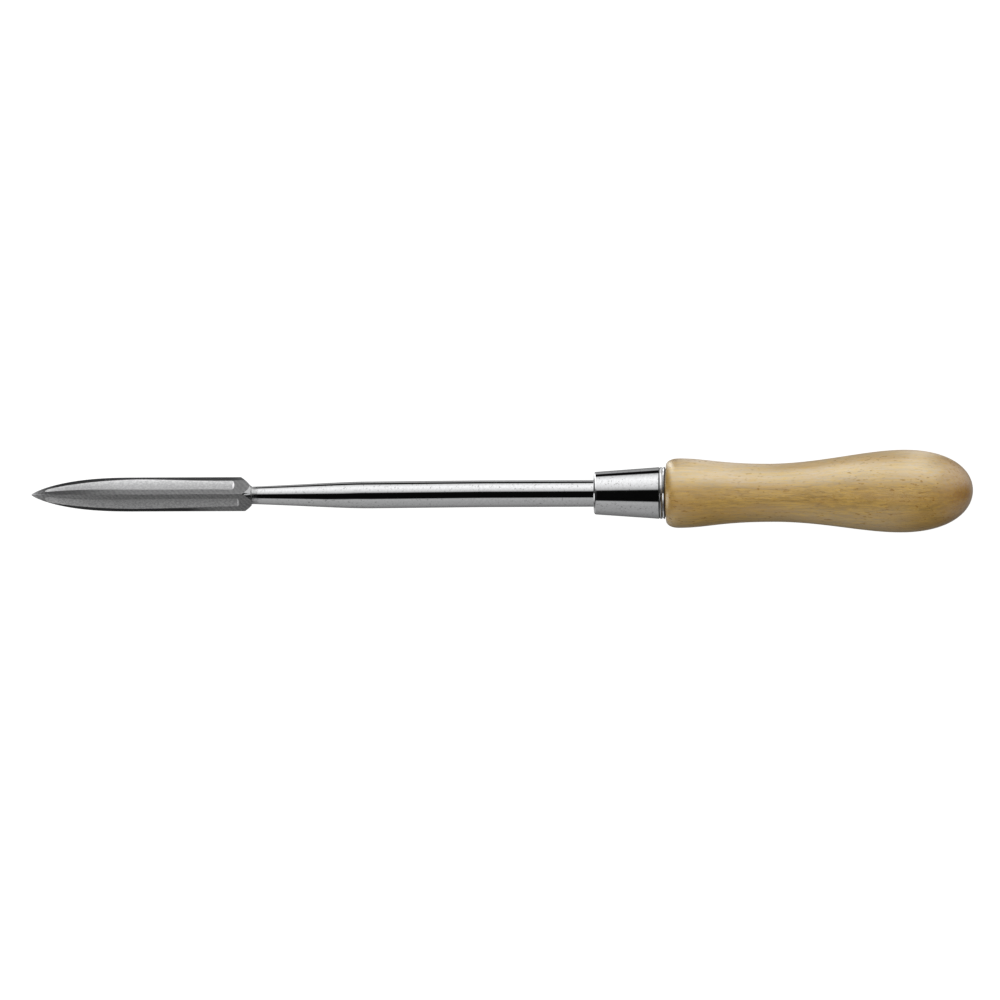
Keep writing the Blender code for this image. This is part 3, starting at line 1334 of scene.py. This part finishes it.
# Levels that several screens share, from the floor on the -Y side up, and down to the floor on the +Y side.
GREY_SIDE: Outline = [
    (-180.0, 0.1), (-160.0, 0.17), (-139.0, 0.26), (-117.0, 0.35), (-101.0, 0.43), (-66.0, 0.49),
]
WINDOW_SIDE: Outline = [
    (55.0, 1.4), (68.0, 1.5), (80.0, 1.35), (97.0, 0.9), (100.5, 0.5), (102.5, 0.005), (122.0, 0.005),
    (127.0, 0.5), (139.0, 0.45), (152.0, 0.3), (180.0, 0.3),
]
DARK_SIDE: Outline = [(-180.0, 0.5), (-140.0, 0.1), (-120.0, 0.03), (6.0, 0.03), (20.0, 0.3), (34.0, 1.4)]


@dataclass
class Studio:
    """The pale floor, the soft light all round and the camera overhead.

    Attributes:
        floor_size: The side of the floor, in metres.
        backdrop: How bright the empty room looks.
        level: How bright the light is.
        blend: How far the screens run into each other.
        screens: The parts of the room from beyond the tip to beyond the handle. The plating mirrors the two
            with windows, first the ferrule's and then the shank's.
        lamp_power: The soft lamp over the -Y side, in watts.
        lamp_size: Its width, in metres.
        lamp_away: How far from the tool it hangs, in metres.
        lamp_lean: How far from straight up it hangs, in degrees.
        lens: The camera's focal length, in millimetres.
        view_width: The width that the picture takes in, in metres.
        view_middle: The picture's middle on the floor, in metres.
        view_turn: How far the camera is turned about its line of sight, in radians.
        view_height: The height of what is in focus, in metres.
    """

    floor_size: float = 12.0
    backdrop: float = 0.97
    level: float = 0.825
    blend: float = 0.03
    screens: list[Screen] = field(default_factory=lambda: [
        Screen(-1.0, [
            (-1.0, 0.4), (-0.4, 0.6), (-0.3, 1.8), (-0.05, 1.8), (0.0, 0.03), (0.5, 0.03), (1.0, 0.4),
        ], end_wall=True),
        Screen(-0.88, [(-180.0, 0.1), (0.0, 0.15), (180.0, 0.1)]),
        Screen(-0.66, [
            (-180.0, 0.6), (-100.0, 0.5), (-70.0, 0.2), (-50.0, 0.03), (6.0, 0.03), (20.0, 0.2), (34.0, 0.6),
            (62.0, 0.9), (76.0, 1.2), (104.0, 1.5), (126.0, 1.5), (138.0, 0.8), (150.0, 0.5), (180.0, 0.5),
        ]),
        Screen(-0.45, [
            (-180.0, 0.6), (-100.0, 0.6), (-70.0, 0.25), (-50.0, 0.03), (6.0, 0.03), (20.0, 0.3), (34.0, 1.4),
            (62.0, 2.2), (76.0, 2.6), (104.0, 3.7), (126.0, 3.6), (138.0, 3.0), (150.0, 2.4), (180.0, 0.8),
        ]),
        Screen(-0.27, [
            *GREY_SIDE, (-50.0, 0.57), (-43.0, 0.5), (-40.0, 0.004), (10.0, 0.004), (13.5, 0.06), (17.0, 0.6),
            (31.0, 1.0), *WINDOW_SIDE,
        ]),
        Screen(-0.15, [
            *GREY_SIDE, (-46.0, 0.57), (-38.0, 0.5), (-35.0, 0.004), (14.0, 0.004), (17.5, 0.06), (21.0, 0.6),
            (33.0, 1.0), *WINDOW_SIDE,
        ]),
        Screen(0.01, [
            *DARK_SIDE, (62.0, 2.3), (76.0, 2.7), (104.0, 2.3), (126.0, 2.1), (140.0, 1.8), (152.0, 1.2),
            (180.0, 0.5),
        ]),
        Screen(0.16, [
            *DARK_SIDE, (62.0, 1.9), (76.0, 1.5), (104.0, 0.7), (126.0, 0.4), (140.0, 0.3), (152.0, 0.3),
            (180.0, 0.3),
        ]),
        Screen(0.45, [
            (-180.0, 0.4), (-90.0, 0.3), (-50.0, 0.1), (-10.0, 0.15), (30.0, 0.7), (60.0, 0.9), (90.0, 1.0),
            (130.0, 0.9), (180.0, 0.5),
        ]),
        Screen(0.85, [
            (-1.0, 0.6), (-0.6, 0.4), (-0.35, 0.1), (-0.1, 0.02), (0.16, 0.02), (0.22, 0.8), (0.4, 0.8),
            (0.5, 0.4), (1.0, 0.15),
        ], end_wall=True),
    ])
    lamp_power: float = 9.5
    lamp_size: float = 0.8
    lamp_away: float = 1.3
    lamp_lean: float = 5.0
    lens: float = 1000.0
    view_width: float = 0.3715
    view_middle: Point = (-0.0007, -0.00254)
    view_turn: float = -0.0037
    view_height: float = 0.012

    def lay_floor(self) -> None:
        """Lays the floor just under the tool."""
        bpy.ops.object.select_all(action="DESELECT")
        bpy.ops.mesh.primitive_plane_add(size=self.floor_size, location=(0.0, 0.0, -0.1 * MM))
        floor = bpy.context.active_object
        floor.name = "pale_floor"
        bpy.ops.object.transform_apply(location=True, rotation=True, scale=True)
        floor.data.materials.append(PaleFloor().material())
        floor.visible_glossy = False
        floor.visible_diffuse = False

    def light_room(self) -> None:
        """Makes the room: white screens on the +Y side, a dark gap overhead and grey on the -Y side."""
        room = bpy.data.worlds.new("soft_room")
        bpy.context.scene.world = room
        shader = Shader(room)
        way = shader.node("ShaderNodeTexCoord", output="Generated")
        x = shader.along(way, (1.0, 0.0, 0.0))
        y = shader.along(way, (0.0, 1.0, 0.0))
        z = shader.along(way, (0.0, 0.0, 1.0))
        angle = shader.operate("ARCTAN2", y, z) * (180.0 / math.pi)
        brightest = max(level for screen in self.screens for _, level in screen.levels)
        seen: Operand = (0.0, 0.0, 0.0, 1.0)
        for screen in self.screens:
            low = screen.levels[0][0]
            span = screen.levels[-1][0] - low
            stops = [((place - low) / span, level / brightest) for place, level in screen.levels]
            at = ((y if screen.end_wall else angle) - low) / span
            shown = shader.node("ShaderNodeValToRGB", {"stops": stops}, {"Fac": at})
            seen = shader.mix(x.rise(screen.start - self.blend, screen.start + self.blend), seen, shown)
        lit = shader.node("ShaderNodeBackground", None, {"Color": seen, "Strength": brightest * self.level})
        pale = (self.backdrop, self.backdrop, self.backdrop, 1.0)
        plain = shader.node("ShaderNodeBackground", None, {"Color": pale, "Strength": 1.0})
        straight = shader.node("ShaderNodeLightPath", output="Is Camera Ray")
        mixed = shader.node("ShaderNodeMixShader", None, {0: straight, 1: lit, 2: plain})
        shader.node("ShaderNodeOutputWorld", None, {"Surface": mixed})

    def hang_lamp(self) -> None:
        """Hangs a large soft lamp, too dull to show in polished metal."""
        lean = math.radians(self.lamp_lean)
        place = (0.0, -self.lamp_away * math.sin(lean), self.lamp_away * math.cos(lean))
        turn = (lean, 0.0, 0.0)
        bpy.ops.object.light_add(type="AREA", radius=self.lamp_size, location=place, rotation=turn)
        lamp = bpy.context.active_object
        lamp.name = "soft_lamp"
        lamp.data.energy = self.lamp_power
        lamp.visible_glossy = False
        lamp.visible_camera = False

    def place_camera(self) -> None:
        """Hangs the camera straight over the tool."""
        data = bpy.data.cameras.new("overhead")
        data.lens = self.lens
        data.sensor_width = 36.0
        camera = bpy.data.objects.new("overhead", data)
        bpy.context.collection.objects.link(camera)
        away = self.view_width * self.lens / data.sensor_width
        camera.location = (*self.view_middle, self.view_height + away)
        camera.rotation_euler = (0.0, 0.0, self.view_turn)
        bpy.context.scene.camera = camera
        bpy.context.scene.view_settings.view_transform = "Standard"

    def build(self) -> None:
        """Sets up the floor, the lights and the camera."""
        self.lay_floor()
        self.light_room()
        self.hang_lamp()
        self.place_camera()


def main() -> None:
    """Builds the blade, the ferrule, the handle and the studio."""
    logging.basicConfig(level=logging.INFO, format="%(name)s: %(message)s")
    gap = 0.3
    ferrule_shift = 0.06
    handle_shift = -0.1
    blade = ScraperBlade()
    ferrule = Ferrule(blade.ferrule_at, offset=blade.shank_offset + ferrule_shift)
    inside_front, inside_rear = ferrule.inside
    handle = BeechHandle(
        start=ferrule.end + gap,
        offset=ferrule.offset + handle_shift,
        tenon_at=ferrule.start + ferrule.front_wall + gap,
        tenon=(inside_front - gap, inside_rear - gap),
    )
    seat = frame["record"]["mounts"][0]
    axis = ToolAxis.from_seat(seat, ferrule.start, ferrule.seat_radius)
    plating = BrightPlating(ferrule.seams, blade.frayed).material(axis)

    # Spans of the painted shade along the blade's edges and on its +Y side.
    edge_shade_to = (blade.shoulder_at - 22.0, blade.shoulder_at - 8.0)
    lapped = LappedSteel(blade.half_widths(), edge_shade_from=(3.0, 9.0), edge_shade_to=edge_shade_to, tip_shade_to=(7.0, 26.0))
    steel = blade.build(lapped.material(axis), HollowGround().material(axis), plating)
    put_in_frame(steel, axis, smooth=9.0)
    join_frame(steel, Node.BLADE)

    cup = ferrule.build(plating)
    put_in_frame(cup, axis, smooth=35.0)
    join_frame(cup, Node.FERRULE)

    butt = (handle.end - 16.0, handle.end - 1.0)
    wood = handle.build(blade.tang(grow=gap * math.sqrt(2.0)), LacqueredBeech(butt).material(axis))
    put_in_frame(wood, axis, smooth=35.0)
    join_frame(wood, Node.HANDLE)

    Studio().build()


if __name__ == "__main__":
    main()
